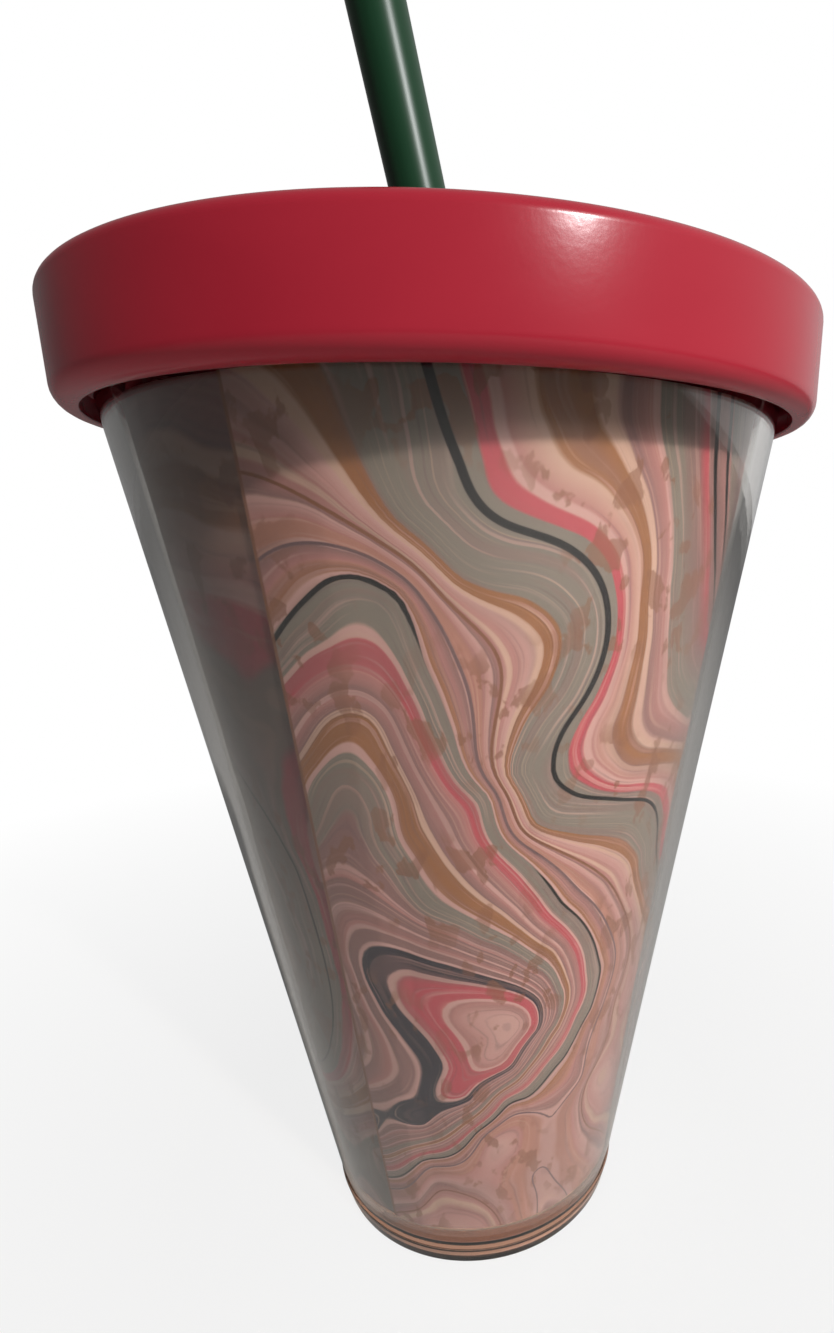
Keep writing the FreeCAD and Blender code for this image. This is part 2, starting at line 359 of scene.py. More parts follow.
# The print is marbling, laid out flat before the sheet is rolled: across is the distance from
# the front, to the right, and the second value is the height above the table. Each drawn line
# has a level, a thin plate is bent through them all, and the ink's bands follow its contours.
drawn_lines = [
    (0, [
        (-4, 148), (-1.5, 139), (0.5, 132), (3.5, 127), (9, 124.8), (13, 121.5), (15, 115),
        (13.8, 109), (11, 104), (10, 99.5), (12, 95.5), (18, 93), (25, 91), (29.5, 86.5), (32, 80),
        (37, 74), (46, 70), (56, 71), (66, 73), (78, 70),
    ]),
    (-8.4, [
        (-10, 141), (-8, 134), (-5, 127), (0, 121.5), (6, 119.5), (10, 115), (9, 109), (6, 103.5),
        (5, 98), (8, 91.5), (15, 88.5), (21, 86.5), (26, 81), (30, 74), (38, 67), (48, 63),
        (60, 64), (74, 62),
    ]),
    (-12.5, [(33, 62), (46, 54), (60, 52), (74, 48)]),
    (6.5, [
        (5, 142), (7.5, 134), (13, 129), (17.5, 123), (18.5, 114), (17, 106), (17, 100), (22, 96),
        (32, 94), (44, 90.5), (58, 86), (72, 84),
    ]),
    (13, [
        (16, 145), (18.5, 132), (21.5, 120), (22.5, 110), (25, 103), (33, 99.5), (46, 97), (60, 96),
        (68, 99), (71, 108), (72, 122), (73, 140),
    ]),
    (27, [
        (24, 146), (27, 133), (32, 122), (39, 115.5), (46, 114.5), (53, 118), (58, 127), (61, 145),
    ]),
    (37, [(33, 148), (37, 133), (42, 126), (47, 126), (52, 134), (54, 148)]),
    (-28, [
        (-24, 109), (-18.5, 114.5), (-13.5, 119.5), (-9, 121.5), (-5.5, 119.5), (-3.5, 112),
        (-1, 104), (2.5, 95.5), (7, 86), (12.5, 78), (18, 71), (21.5, 63), (20.5, 55), (16, 47),
        (9, 40.5), (0, 34.5), (-11, 27), (-22, 19),
    ]),
    (-34, [
        (-23, 104.5), (-18, 109.5), (-13, 114), (-9, 115.5), (-6, 112), (-4, 105), (-1, 97),
        (3, 88), (9, 79.5), (15, 71.5), (18, 63), (17, 55), (12.5, 47.5), (5, 41.5),
    ]),
    (-47, [
        (-22, 94), (-17, 100.5), (-13, 105), (-10, 105), (-8, 99), (-6.5, 91), (-2.5, 83.5),
        (4, 77), (11.5, 69.5), (15, 62), (14, 54), (9, 47),
    ]),
    (-54, [
        (-22, 85), (-17, 93), (-13.5, 97), (-11, 93), (-9.5, 86), (-6, 79), (2, 73.8), (9, 68),
        (13, 62), (12, 54),
    ]),
    (-72, [
        (-22, 35), (-15, 38), (-10, 42), (-8.5, 48), (-10, 54), (-13.5, 60.5), (-15.5, 66),
        (-14.5, 70.5), (-10, 71.5), (-3, 69), (5, 65.5), (10.2, 61), (10.8, 55), (6.5, 48),
        (-1, 42), (-10, 36), (-21, 31),
    ]),
    (-77, [(-5.5, 43), (-3.5, 49), (-6.5, 56), (-10.3, 62), (-9.5, 67), (-4, 66)]),
    (-84, [(-2, 60), (2, 55), (2, 50)]),
    (-64, [(-20, 47), (-17.5, 56), (-19, 66), (-17, 78)]),
    (-16.5, [(27, 54), (38, 44), (52, 34), (66, 26)]),
    (-14, [(24, 38), (34, 28), (46, 17), (60, 8)]),
    (-18.5, [(22, 24), (30, 14), (38, 6)]),
    (-22, [(21, 40), (14, 31), (11.5, 20), (14, 6)]),
    (-19, [(-15, 16), (-4, 23), (3, 24)]),
    (-13, [(-12, 5), (0, 8)]),
    (0, [
        (157, 66), (160, 82), (167.5, 94), (178, 97.5), (189, 93), (195.5, 82), (196.5, 66),
        (193, 50), (183, 39), (172, 39), (162, 49),
    ]),
    (-9, [(170, 74), (182, 72), (180, 54)]),
    (6.8, [(150, 129), (165, 126), (180, 127), (192, 126), (204, 122)]),
    (14, [(152, 142), (170, 140), (190, 143)]),
    (1.6, [(156, 113), (172, 112), (188, 111), (204, 108)]),
    (3.4, [(158, 120), (176, 120), (194, 118)]),
    (8, [(204, 84), (206, 66), (203, 48), (150, 62), (152, 88)]),
    (16, [(198, 26), (180, 20), (160, 24)]),
    (13, [(190, 6), (165, 6)]),
]
repeat_about = 77.0           # the print's own fold line, on the right of the cup
repeat_from = 24.0
repeat_to = 62.0
plate_slack = 3.0             # how far the plate may pass beside a drawn point


def bending(squared):
    """Thin plate's bending at squared distances from a pin."""
    return squared * np.log(np.maximum(squared, 1e-9))


pins = []
pin_levels = []
for pin_level, line in drawn_lines:
    for across, height in line:
        pins.append((across, height))
        pin_levels.append(pin_level)
        if repeat_from < across < repeat_to:
            pins.append((2 * repeat_about - across, height))
            pin_levels.append(pin_level)
pins = np.array(pins)
count = len(pins)
plate = np.zeros((count + 3, count + 3))
plate[:count, :count] = bending(((pins[:, None] - pins[None]) ** 2).sum(-1)) + plate_slack * np.eye(count)
plate[:count, count] = 1
plate[:count, count + 1:] = pins
plate[count:, :count] = plate[:count, count:].T
loads = np.linalg.solve(plate, np.concatenate([pin_levels, [0, 0, 0]]))
flat = np.array(flat_places[:face_size])
levels = loads[count] + flat @ loads[count + 1:]
for pin, load in zip(pins, loads):
    levels += load * bending(((flat - pin) ** 2).sum(1))
grid = levels.reshape(len(heights), columns)
climb = np.gradient(grid, np.array(heights), axis=0)
slope = np.gradient(grid, np.radians(angles) * flat_mm_per_radian, axis=1)
steepness = np.hypot(climb, slope).ravel()

# The main dark line grows wider upwards and stops before the sheet's inner end. The arch's line
# is drawn on the arch's left and again on the tail below it, and it is missing between them.
main_line_heights = [70, 95, 130]
main_line_widths = [0.5, 0.7, 0.95]
main_stops_across = 148
main_stops_above = 100
main_fade_across = 2
main_fade_up = 3
arch_left_of = -3.4
arch_fade = 1.2
arch_line_width = 0.7
arch_above = 100
tail_below = 85
tail_fade = 3
tail_line_width = 0.5
# Painted shade at the sheet's inner end: where it starts across, how far it ramps, its share at two heights.
end_shade_from = 150
end_shade_over = 25
end_shade_heights = [70, 95]
end_shade_shares = [0.15, 0.55]
across, up = flat.T
main_faded = np.clip((across - main_stops_across) / main_fade_across, 0, 1)
main_faded = main_faded * np.clip((up - main_stops_above) / main_fade_up, 0, 1)
main_width = (1 - main_faded) * np.interp(up, main_line_heights, main_line_widths)
arch_part = arch_line_width * np.clip((arch_left_of - across) / arch_fade, 0, 1)
tail_part = tail_line_width * np.clip((tail_below - up) / tail_fade, 0, 1)
arch_width = np.where(up > arch_above, arch_part, tail_part)
from_edge = np.tile(np.radians(angles), len(heights)) * sheet_outer(up)
inner_end_shade = np.clip((across - end_shade_from) / end_shade_over, 0, 1)
inner_end_shade = inner_end_shade * np.interp(up, end_shade_heights, end_shade_shares)
printed_values = {
    "inner_end_shade": inner_end_shade, "from_edge": from_edge, "level": levels,
    "steepness": steepness, "main_width": main_width, "arch_width": arch_width,
}
for name, values in printed_values.items():
    layer = printed_insert.data.attributes.new(name, "FLOAT", "POINT")
    layer.data.foreach_set("value", np.concatenate([values, values]).astype(np.float32))
flat_map = printed_insert.data.uv_layers.new(name="flat sheet")
corner_vertices = np.zeros(len(printed_insert.data.loops), np.int32)
printed_insert.data.loops.foreach_get("vertex_index", corner_vertices)
flat_map.data.foreach_set("uv", np.array(flat_places, np.float32)[corner_vertices].ravel())

# Polypropylene film, printed on its outside with gloss ink. The eye gets marbled bands in
# mauve, pink, rose, ochre and warm grey, drawn out in fine streaks, with thin dark lines.
mauve = "#866562"
pale = "#bb958f"
cream = "#bc9c8c"
grey = "#7b746b"
ochre = "#90603d"
rose = "#ae4a54"
pink = "#a97672"
peach = "#a9786a"
navy = "#26232f"
near_black = "#0d0a0d"
dusk = "#6b5357"
end_shade_maroon = "#3a1c22"
# The deep maroon is the painted shade at the sheet's inner end, over the print's own maroon tint.
fleck_brown = "#7d5038"
bands_from = -92.0
bands = [
    (6, pale, pale), (4, pale, pink), (1, pale, pale), (4.5, rose, rose), (1, pale, pale), (0.5, navy, navy),
    (3.8, navy, navy), (0.9, pale, pale), (2.5, mauve, mauve), (0.8, pale, pale), (3, pink, mauve),
    (0.8, pale, pale), (4, mauve, mauve), (1.5, pink, pale), (2.5, mauve, mauve), (5, grey, grey),
    (1, pale, pale), (3.5, ochre, ochre), (1, cream, cream), (2.5, mauve, pink), (1, pale, pale),
    (3, mauve, pink), (2, pink, rose), (2.4, rose, rose), (1, pale, pale), (5.3, grey, grey), (1, pale, pale),
    (2, ochre, peach), (2.2, pink, mauve), (0.8, pale, pale), (2.4, peach, peach), (1.8, pink, pale),
    (2, mauve, pink), (0.8, cream, cream), (2.6, pink, pale), (1, cream, cream), (2.4, ochre, ochre),
    (10.6, grey, grey), (1.8, rose, rose), (1, pale, pale), (2.4, pink, cream), (2.4, ochre, ochre),
    (1.2, cream, cream), (3, mauve, pink), (1, pale, pale), (3, grey, grey), (3.6, grey, mauve),
    (2.3, mauve, rose), (0.6, rose, rose), (2.4, mauve, mauve), (4, mauve, pink), (5.5, grey, mauve),
]
band_blur = 0.25
fine_line = 0.5
loop_line = 0.75
edge_width = 0.35
edge_most = 0.85
dark_lines = [
    (0, "main_width", near_black), (-28, "arch_width", near_black),
    (26.5, loop_line, near_black), (30, loop_line, near_black),
    (34, fine_line, dusk), (-22, fine_line, dusk), (-16.2, fine_line, fleck_brown),
]
stops_in_ramp = 32
drift_scale = 0.06
wander_levels = 1.6

film, tree, output = material("polypropylene film, printed")
place = put(tree, "ShaderNodeUVMap", uv_map="flat sheet").outputs[0]
drift = put(tree, "ShaderNodeTexNoise", {
    "Vector": place, "Scale": drift_scale, "Detail": 2.0, "Roughness": 0.5,
})
wander = put(tree, "ShaderNodeMapRange", {
    "Value": drift.outputs["Fac"], "To Min": -wander_levels, "To Max": wander_levels,
})
plain_level = put(tree, "ShaderNodeAttribute", attribute_name="level").outputs["Fac"]
level = put(tree, "ShaderNodeMath", {0: plain_level, 1: wander.outputs[0]}, operation="ADD").outputs[0]
steep = put(tree, "ShaderNodeAttribute", attribute_name="steepness").outputs["Fac"]

stops = []
reached = bands_from
for width, start_colour, end_colour in bands:
    stops += [(reached, start_colour), (reached + width - band_blur, end_colour)]
    reached += width
ink = None
for first in range(0, len(stops), stops_in_ramp - 1):
    group = stops[first:first + stops_in_ramp]
    low, high = group[0][0], group[-1][0]
    spread = put(tree, "ShaderNodeMapRange", {"Value": level, "From Min": low, "From Max": high})
    ramp = put(tree, "ShaderNodeValToRGB", {"Fac": spread.outputs[0]})
    for number, (stop, code) in enumerate(group):
        share = (stop - low) / (high - low)
        marks = ramp.color_ramp.elements
        mark = marks[number] if number < 2 else marks.new(share)
        mark.position = share
        mark.color = colour(code)
    if ink is None:
        ink = ramp.outputs["Color"]
        continue
    past = put(tree, "ShaderNodeMath", {0: level, 1: low}, operation="GREATER_THAN")
    ink = put(tree, "ShaderNodeMix", {
        "Factor": past.outputs[0], "A": ink, "B": ramp.outputs["Color"],
    }, data_type="RGBA").outputs["Result"]

# The ink was combed while wet, so fine streaks of paler and darker ink run along the bands.
# Each kind has its fineness across them, its ink, the noise where it begins, and its share.
streak_kinds = [
    (1.3, pale, 0.57, 0.5), (2.6, cream, 0.6, 0.35), (1.9, dusk, 0.59, 0.35), (0.5, mauve, 0.52, 0.35),
]
streak_change = 0.035         # change along the bands, for each millimetre
streak_soft = 0.12
flat_axes = put(tree, "ShaderNodeSeparateXYZ", {0: place})
slow_axes = [
    put(tree, "ShaderNodeMath", {0: axis, 1: streak_change}, operation="MULTIPLY").outputs[0]
    for axis in (flat_axes.outputs[0], flat_axes.outputs[1])
]
for fineness, code, begins, most in streak_kinds:
    streak_place = put(tree, "ShaderNodeCombineXYZ", {
        0: put(tree, "ShaderNodeMath", {0: level, 1: fineness}, operation="MULTIPLY").outputs[0],
        1: slow_axes[0], 2: slow_axes[1],
    })
    streak = put(tree, "ShaderNodeTexNoise", {
        "Vector": streak_place.outputs[0], "Scale": 1.0, "Detail": 1.0,
    })
    streak_share = put(tree, "ShaderNodeMapRange", {
        "Value": streak.outputs["Fac"], "From Min": begins, "From Max": begins + streak_soft,
        "To Max": most,
    })
    ink = put(tree, "ShaderNodeMix", {
        "Factor": streak_share.outputs[0], "A": ink, "B": colour(code),
    }, data_type="RGBA").outputs["Result"]

# Flecks of brown ink sit in clusters, about two millimetres across.
cluster_scale = 0.045
cluster_noise = (0.42, 0.54)
fleck_scale = 0.3
fleck_shape = (1.0, 0.6, 1.0)
fleck_noise = (0.555, 0.58)
fleck_most = 0.62
cluster = put(tree, "ShaderNodeTexNoise", {"Vector": place, "Scale": cluster_scale, "Detail": 2.0})
cluster_share = put(tree, "ShaderNodeMapRange", {
    "Value": cluster.outputs["Fac"], "From Min": cluster_noise[0], "From Max": cluster_noise[1],
})
fleck = put(tree, "ShaderNodeTexNoise", {
    "Vector": put(tree, "ShaderNodeMapping", {"Vector": place, "Scale": fleck_shape}).outputs[0],
    "Scale": fleck_scale, "Detail": 4.0, "Distortion": 0.2,
})
fleck_share = put(tree, "ShaderNodeMapRange", {
    "Value": fleck.outputs["Fac"], "From Min": fleck_noise[0], "From Max": fleck_noise[1],
    "To Max": fleck_most,
})
clustered = put(tree, "ShaderNodeMath", {
    0: cluster_share.outputs[0], 1: fleck_share.outputs[0],
}, operation="MULTIPLY")
ink = put(tree, "ShaderNodeMix", {
    "Factor": clustered.outputs[0], "A": ink, "B": colour(fleck_brown),
}, data_type="RGBA").outputs["Result"]

# Painted shade over the print's maroon tint: the ink darkens towards the sheet's inner end, by the lap.
inner_end_shade = put(tree, "ShaderNodeAttribute", attribute_name="inner_end_shade").outputs["Fac"]
ink = put(tree, "ShaderNodeMix", {
    "Factor": inner_end_shade, "A": ink, "B": colour(end_shade_maroon),
}, data_type="RGBA").outputs["Result"]

# Dark lines, drawn at their own levels and up to a millimetre wide.
least_steepness = 0.05
line_soft = 0.14
for line_level, width, code in dark_lines:
    if isinstance(width, str):
        width = put(tree, "ShaderNodeAttribute", attribute_name=width).outputs["Fac"]
    off = put(tree, "ShaderNodeMath", {0: plain_level, 1: line_level}, operation="SUBTRACT")
    off = put(tree, "ShaderNodeMath", {0: off.outputs[0]}, operation="ABSOLUTE")
    steep_enough = put(tree, "ShaderNodeMath", {0: steep, 1: least_steepness}, operation="MAXIMUM")
    off = put(tree, "ShaderNodeMath", {0: off.outputs[0], 1: steep_enough.outputs[0]}, operation="DIVIDE")
    half = put(tree, "ShaderNodeMath", {0: width, 1: 0.5}, operation="MULTIPLY")
    inside = put(tree, "ShaderNodeMath", {0: half.outputs[0], 1: off.outputs[0]}, operation="SUBTRACT")
    line_share = put(tree, "ShaderNodeMapRange", {"Value": inside.outputs[0], "From Max": line_soft})
    ink = put(tree, "ShaderNodeMix", {
        "Factor": line_share.outputs[0], "A": ink, "B": colour(code),
    }, data_type="RGBA").outputs["Result"]

# The cut edge of the sheet's free end shows the brown of the ink below.
from_edge = put(tree, "ShaderNodeAttribute", attribute_name="from_edge").outputs["Fac"]
edge_share = put(tree, "ShaderNodeMapRange", {
    "Value": from_edge, "From Min": edge_width, "From Max": edge_width * 1.5,
    "To Min": edge_most, "To Max": 0.0,
})
ink = put(tree, "ShaderNodeMix", {
    "Factor": edge_share.outputs[0], "A": ink, "B": colour(fleck_brown),
}, data_type="RGBA").outputs["Result"]
wet = put(tree, "ShaderNodeMapRange", {"Value": drift.outputs["Fac"], "To Min": 0.3, "To Max": 0.5})
printed = put(tree, "ShaderNodeBsdfPrincipled", {"Base Color": ink, "Roughness": wet.outputs[0]})
tree.links.new(printed.outputs[0], output.inputs["Surface"])
printed_insert.data.materials.append(film)
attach(printed_insert, "cup")
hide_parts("printed_insert")

# Liner. It is the drinking cup, of the same acrylic. Its rim turns down into the collar,
# whose face carries one turn of thread, and the joint to the outer shell hides behind the lid.
liner_gap = 0.25
liner_wall = 1.9
floor_height = 9.0
floor_thickness = 2.2
floor_round = 4.0
collar_wall = 2.1
collar_set_in = 0.25
collar_radius = shoulder_radius - collar_set_in
rim_thickness = 2.4
rim_round = 0.5


def liner_outer(height):
    """Radius of the drinking cup's outer face."""
    return sheet_outer(height) - print_thickness - liner_gap


def liner_inner(height):
    """Radius of the drinking cup's inner face."""
    return liner_outer(height) - liner_wall


mouth_radius = liner_inner(shell_top)
floor_top = floor_height + floor_thickness
inner_liner = turned("inner_liner_moulding", rounded_outline([
    (0, floor_height, 0),
    (liner_outer(floor_height), floor_height, floor_round),
    (liner_outer(shell_top), shell_top, 0),
    (liner_outer(shell_top), cup_height - rim_thickness, 0),
    (collar_radius - collar_wall, cup_height - rim_thickness, 0.2),
    (collar_radius - collar_wall, shell_top, 0),
    (collar_radius, shell_top, 0),
    (collar_radius, cup_height, rim_round),
    (mouth_radius, cup_height, rim_round),
    (mouth_radius, shell_top, 0),
    (liner_inner(floor_top), floor_top, floor_round - liner_wall),
    (0, floor_top, 0),
]))

# Screw tooth. A trapezoid is swept along a right-handed helix and bites into the wall that it
# is wound on. The liner's tooth stands outwards and the lid's inwards, from the same tree.
thread_pitch = 4.0
thread_turns = 1.0
thread_depth = 1.35
thread_root_width = 1.6
thread_crest_width = 0.8
thread_below_rim = 0.5
thread_bite = 0.3
thread_start_deg = -10.0
thread_flank = (thread_root_width - thread_crest_width) / (2 * thread_depth)
thread_start = cup_height - thread_below_rim - thread_root_width / 2 - thread_pitch * thread_turns
tooth_height = thread_depth + thread_bite
tooth_root = thread_crest_width + 2 * thread_flank * tooth_height
tooth_steps_per_turn = 144

tooth_tree = bpy.data.node_groups.new("screw tooth", "GeometryNodeTree")
tooth_sizes = {
    "Wall Radius": "FLOAT", "Outward": "FLOAT", "Start Height": "FLOAT", "Start Angle": "FLOAT",
    "Turns": "FLOAT", "Pitch": "FLOAT", "Depth": "FLOAT", "Bite": "FLOAT",
    "Root Width": "FLOAT", "Crest Width": "FLOAT", "Finish": "MATERIAL",
}
tooth_sockets = {}
for name, kind in tooth_sizes.items():
    socket = tooth_tree.interface.new_socket(name, in_out="INPUT", socket_type="NodeSocket" + kind.title())
    tooth_sockets[name] = socket.identifier
tooth_tree.interface.new_socket("Tooth", in_out="OUTPUT", socket_type="NodeSocketGeometry")
given = put(tooth_tree, "NodeGroupInput").outputs
rise = put(tooth_tree, "ShaderNodeMath", {0: given["Turns"], 1: given["Pitch"]}, operation="MULTIPLY")
helix = put(tooth_tree, "GeometryNodeCurveSpiral", {
    "Resolution": tooth_steps_per_turn, "Rotations": given["Turns"], "Height": rise.outputs[0],
    "Start Radius": given["Wall Radius"], "End Radius": given["Wall Radius"], "Reverse": True,
})
guide = put(tooth_tree, "GeometryNodeSetCurveNormal", {"Curve": helix.outputs[0]}, mode="Z_UP")
full_depth = put(tooth_tree, "ShaderNodeMath", {0: given["Depth"], 1: given["Bite"]}, operation="ADD")
section = put(tooth_tree, "GeometryNodeCurvePrimitiveQuadrilateral", {
    "Height": full_depth.outputs[0], "Bottom Width": given["Root Width"],
    "Top Width": given["Crest Width"], "Offset": 0.0,
}, mode="TRAPEZOID")
spare_depth = put(tooth_tree, "ShaderNodeMath", {0: given["Depth"], 1: given["Bite"]}, operation="SUBTRACT")
half_spare = put(tooth_tree, "ShaderNodeMath", {0: spare_depth.outputs[0], 1: 0.5}, operation="MULTIPLY")
shift = put(tooth_tree, "ShaderNodeMath", {
    0: half_spare.outputs[0], 1: given["Outward"],
}, operation="MULTIPLY")
aside = put(tooth_tree, "ShaderNodeMath", {0: given["Outward"], 1: -math.pi / 2}, operation="MULTIPLY")
section = put(tooth_tree, "GeometryNodeTransform", {
    "Geometry": section.outputs[0],
    "Translation": put(tooth_tree, "ShaderNodeCombineXYZ", {0: shift.outputs[0]}).outputs[0],
    "Rotation": put(tooth_tree, "ShaderNodeCombineXYZ", {2: aside.outputs[0]}).outputs[0],
})
tooth = put(tooth_tree, "GeometryNodeCurveToMesh", {
    "Curve": guide.outputs[0], "Profile Curve": section.outputs[0], "Fill Caps": True,
})
tooth = put(tooth_tree, "GeometryNodeTransform", {
    "Geometry": tooth.outputs[0],
    "Translation": put(tooth_tree, "ShaderNodeCombineXYZ", {2: given["Start Height"]}).outputs[0],
    "Rotation": put(tooth_tree, "ShaderNodeCombineXYZ", {2: given["Start Angle"]}).outputs[0],
})
tooth = put(tooth_tree, "GeometryNodeRealizeInstances", {"Geometry": tooth.outputs[0]})
tooth = put(tooth_tree, "GeometryNodeSetMaterial", {
    "Geometry": tooth.outputs[0], "Material": given["Finish"],
})
put(tooth_tree, "NodeGroupOutput", {0: tooth.outputs[0]})


def add_tooth(piece, finish, wall_radius, outward, start_height, start_deg, turns):
    """Tooth of the screw thread, wound on a wall of the piece and joined to the piece's mesh."""
    carrier = bpy.data.objects.new("tooth", bpy.data.meshes.new("tooth"))
    bpy.context.scene.collection.objects.link(carrier)
    winding = carrier.modifiers.new("winding", "NODES")
    winding.node_group = tooth_tree
    sizes = {
        "Wall Radius": wall_radius, "Outward": outward, "Start Height": start_height,
        "Start Angle": math.radians(start_deg), "Turns": turns,
        "Pitch": thread_pitch, "Depth": thread_depth, "Bite": thread_bite,
        "Root Width": tooth_root, "Crest Width": thread_crest_width, "Finish": finish,
    }
    for name, value in sizes.items():
        winding[tooth_sockets[name]] = value
    wound = bpy.data.meshes.new_from_object(carrier.evaluated_get(bpy.context.evaluated_depsgraph_get()))
    wound.transform(Matrix.Scale(1 / mm_per_m, 4))
    carrier.modifiers.remove(winding)
    bpy.data.objects.remove(carrier)
    shape = bmesh.new()
    shape.from_mesh(wound)
    bmesh.ops.recalc_face_normals(shape, faces=shape.faces)
    for face in shape.faces:
        face.smooth = True
    shape.from_mesh(piece.data)
    shape.to_mesh(piece.data)
    shape.free()
    piece.data.set_sharp_from_angle(angle=math.radians(soft_edge_deg))


add_tooth(inner_liner, acrylic, collar_radius, 1, thread_start, thread_start_deg, thread_turns)
inner_liner.data.materials.append(acrylic)
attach(inner_liner, "cup")
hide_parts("inner_liner")

# Gasket. It is a soft ring of white silicone between the cup's rim and the lid's plate. It
# lies round the lid's plug wall, with a hair's breadth left above it and below it.
gasket_thickness = 1.2
gasket_seat = 0.05
gasket_round = 0.24
gasket_plug_gap = 0.25
gasket_set_in = 0.3
plug_clearance = 0.4
silicone_white = "#dedcd6"
plug_radius = mouth_radius - plug_clearance
gasket_inner = plug_radius + gasket_plug_gap
gasket_outer = collar_radius - gasket_set_in
gasket_low = cup_height + gasket_seat
gasket_high = gasket_low + gasket_thickness
lid_gasket = turned("lid_gasket_ring", rounded_outline([
    (gasket_inner, gasket_low, gasket_round),
    (gasket_outer, gasket_low, gasket_round),
    (gasket_outer, gasket_high, gasket_round),
    (gasket_inner, gasket_high, gasket_round),
]))
silicone, tree, output = material("silicone rubber, moulded")
bloom = put(tree, "ShaderNodeTexNoise", {
    "Vector": put(tree, "ShaderNodeTexCoord").outputs["Object"], "Scale": 260.0, "Detail": 3.0,
})
dull = put(tree, "ShaderNodeMapRange", {"Value": bloom.outputs["Fac"], "To Min": 0.35, "To Max": 0.6})
soft = put(tree, "ShaderNodeBsdfPrincipled", {
    "Base Color": colour(silicone_white), "Roughness": dull.outputs[0], "Subsurface Weight": 0.3,
    "Subsurface Scale": 0.001,
})
tree.links.new(soft.outputs[0], output.inputs["Surface"])
lid_gasket.data.materials.append(silicone)
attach(lid_gasket, "gasket")
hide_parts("lid_gasket")

# Lid. It is one moulding of raspberry pink polypropylene: a plate with a shallow recess and
# a hole for the straw, a deep skirt that hangs over the cup, and a plug wall inside the rim.
lid_plate = 2.3
skirt_wall = 2.85
skirt_flare = 0.55
skirt_height = 11.8
thread_clearance = 0.55
lid_underside = cup_height + gasket_thickness + 2 * gasket_seat
lid_top = lid_underside + lid_plate
skirt_bottom = lid_top - skirt_height
lid_bore = collar_radius + thread_depth + thread_clearance
lid_skirt_radius = lid_bore + skirt_wall
lid_top_radius = lid_skirt_radius - skirt_flare
lid_border = 6.1
recess_radius = lid_top_radius - lid_border
recess_depth = 0.7
recess_slope = 1.2
plug_wall = 1.5
plug_depth = 4.0
plug_inner = plug_radius - plug_wall
plug_bottom = lid_underside - plug_depth
straw_hole_radius = 4.7
lid = turned("lid_moulding", rounded_outline([
    (straw_hole_radius, lid_top - recess_depth, 0.4),
    (recess_radius - recess_slope, lid_top - recess_depth, 0.8),
    (recess_radius, lid_top, 0.6),
    (lid_top_radius, lid_top, 1.4),
    (lid_skirt_radius, skirt_bottom, 2.0),
    (lid_bore, skirt_bottom, 0.3),
    (lid_bore, lid_underside, 0.6),
    (plug_radius, lid_underside, 0.2),
    (plug_radius, plug_bottom, 0.4),
    (plug_inner, plug_bottom, 0.4),
    (plug_inner, lid_underside, 0.3),
    (straw_hole_radius, lid_underside, 0.4),
]))
lid_thread_flank_clearance = 0.35
lid_thread_start_deg = 30.0
facing_width = thread_root_width - thread_flank * (thread_depth + thread_clearance)
lid_thread_start = thread_start - facing_width - lid_thread_flank_clearance
lid_thread_start += thread_pitch * lid_thread_start_deg / 360
lid_flow_scale = (30, 30, 80)
lid_deep = "#b82236"
lid_bright = "#c82c3f"
raspberry, tree, output = material("polypropylene, moulded, raspberry pink")
place = put(tree, "ShaderNodeTexCoord").outputs["Object"]
flow = put(tree, "ShaderNodeTexNoise", {
    "Vector": put(tree, "ShaderNodeMapping", {"Vector": place, "Scale": lid_flow_scale}).outputs[0],
    "Scale": 1.0, "Detail": 3.0, "Distortion": 0.8,
})
tone = put(tree, "ShaderNodeMix", {
    "Factor": flow.outputs["Fac"], "A": colour(lid_deep), "B": colour(lid_bright),
}, data_type="RGBA")
skin = put(tree, "ShaderNodeTexNoise", {"Vector": place, "Scale": 1400.0, "Detail": 3.0})
dull = put(tree, "ShaderNodeMapRange", {"Value": flow.outputs["Fac"], "To Min": 0.16, "To Max": 0.27})
grain = put(tree, "ShaderNodeBump", {"Height": skin.outputs["Fac"], "Strength": 0.1, "Distance": 0.00008})
moulded = put(tree, "ShaderNodeBsdfPrincipled", {
    "Base Color": tone.outputs["Result"], "Roughness": dull.outputs[0], "Specular IOR Level": 0.4,
    "Normal": grain.outputs[0],
})
tree.links.new(moulded.outputs[0], output.inputs["Surface"])
add_tooth(
    lid, raspberry, lid_bore, -1, lid_thread_start, thread_start_deg + lid_thread_start_deg,
    thread_turns - lid_thread_start_deg / 360,
)
lid.data.materials.append(raspberry)
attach(lid, "lid")
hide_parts("lid")

# Straw. It is an extruded tube of dark green polypropylene with a moulded stop ring near its
# lower end, which keeps it from being pulled out through the lid. It leans to the left.
straw_radius = 3.75
straw_wall = 0.9
straw_bore = straw_radius - straw_wall
straw_length = 198.0
straw_lean = math.radians(12.6)
straw_azimuth = math.radians(189.0)
straw_offset = 0.5
stop_ring_height = 22.0
stop_ring_radius = 5.4
stop_ring_width = 2.0
stop_ring_slope = 1.6
ring_low = stop_ring_height - stop_ring_width / 2
ring_high = stop_ring_height + stop_ring_width / 2
straw = turned("straw_tube", rounded_outline([
    (straw_bore, 0, 0.3),
    (straw_radius, 0, 0.3),
    (straw_radius, ring_low - stop_ring_slope, 0.6),
    (stop_ring_radius, ring_low, 0.6),
    (stop_ring_radius, ring_high, 0.6),
    (straw_radius, ring_high + stop_ring_slope, 0.6),
    (straw_radius, straw_length, 0.3),
    (straw_bore, straw_length, 0.3),
]))
along = Vector((math.cos(straw_azimuth), math.sin(straw_azimuth), 0))
straw_axis = along * math.sin(straw_lean) + Vector((0, 0, 1)) * math.cos(straw_lean)
hole_height = lid_underside + (lid_plate - recess_depth) / 2
straw_low, straw_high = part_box("straw")
middle_height = (straw_low.z + straw_high.z) / 2 * mm_per_m
below_hole = (hole_height - middle_height) / math.cos(straw_lean) + straw_length / 2
lower_end = Vector((0, 0, hole_height)) - along * straw_offset - straw_axis * below_hole
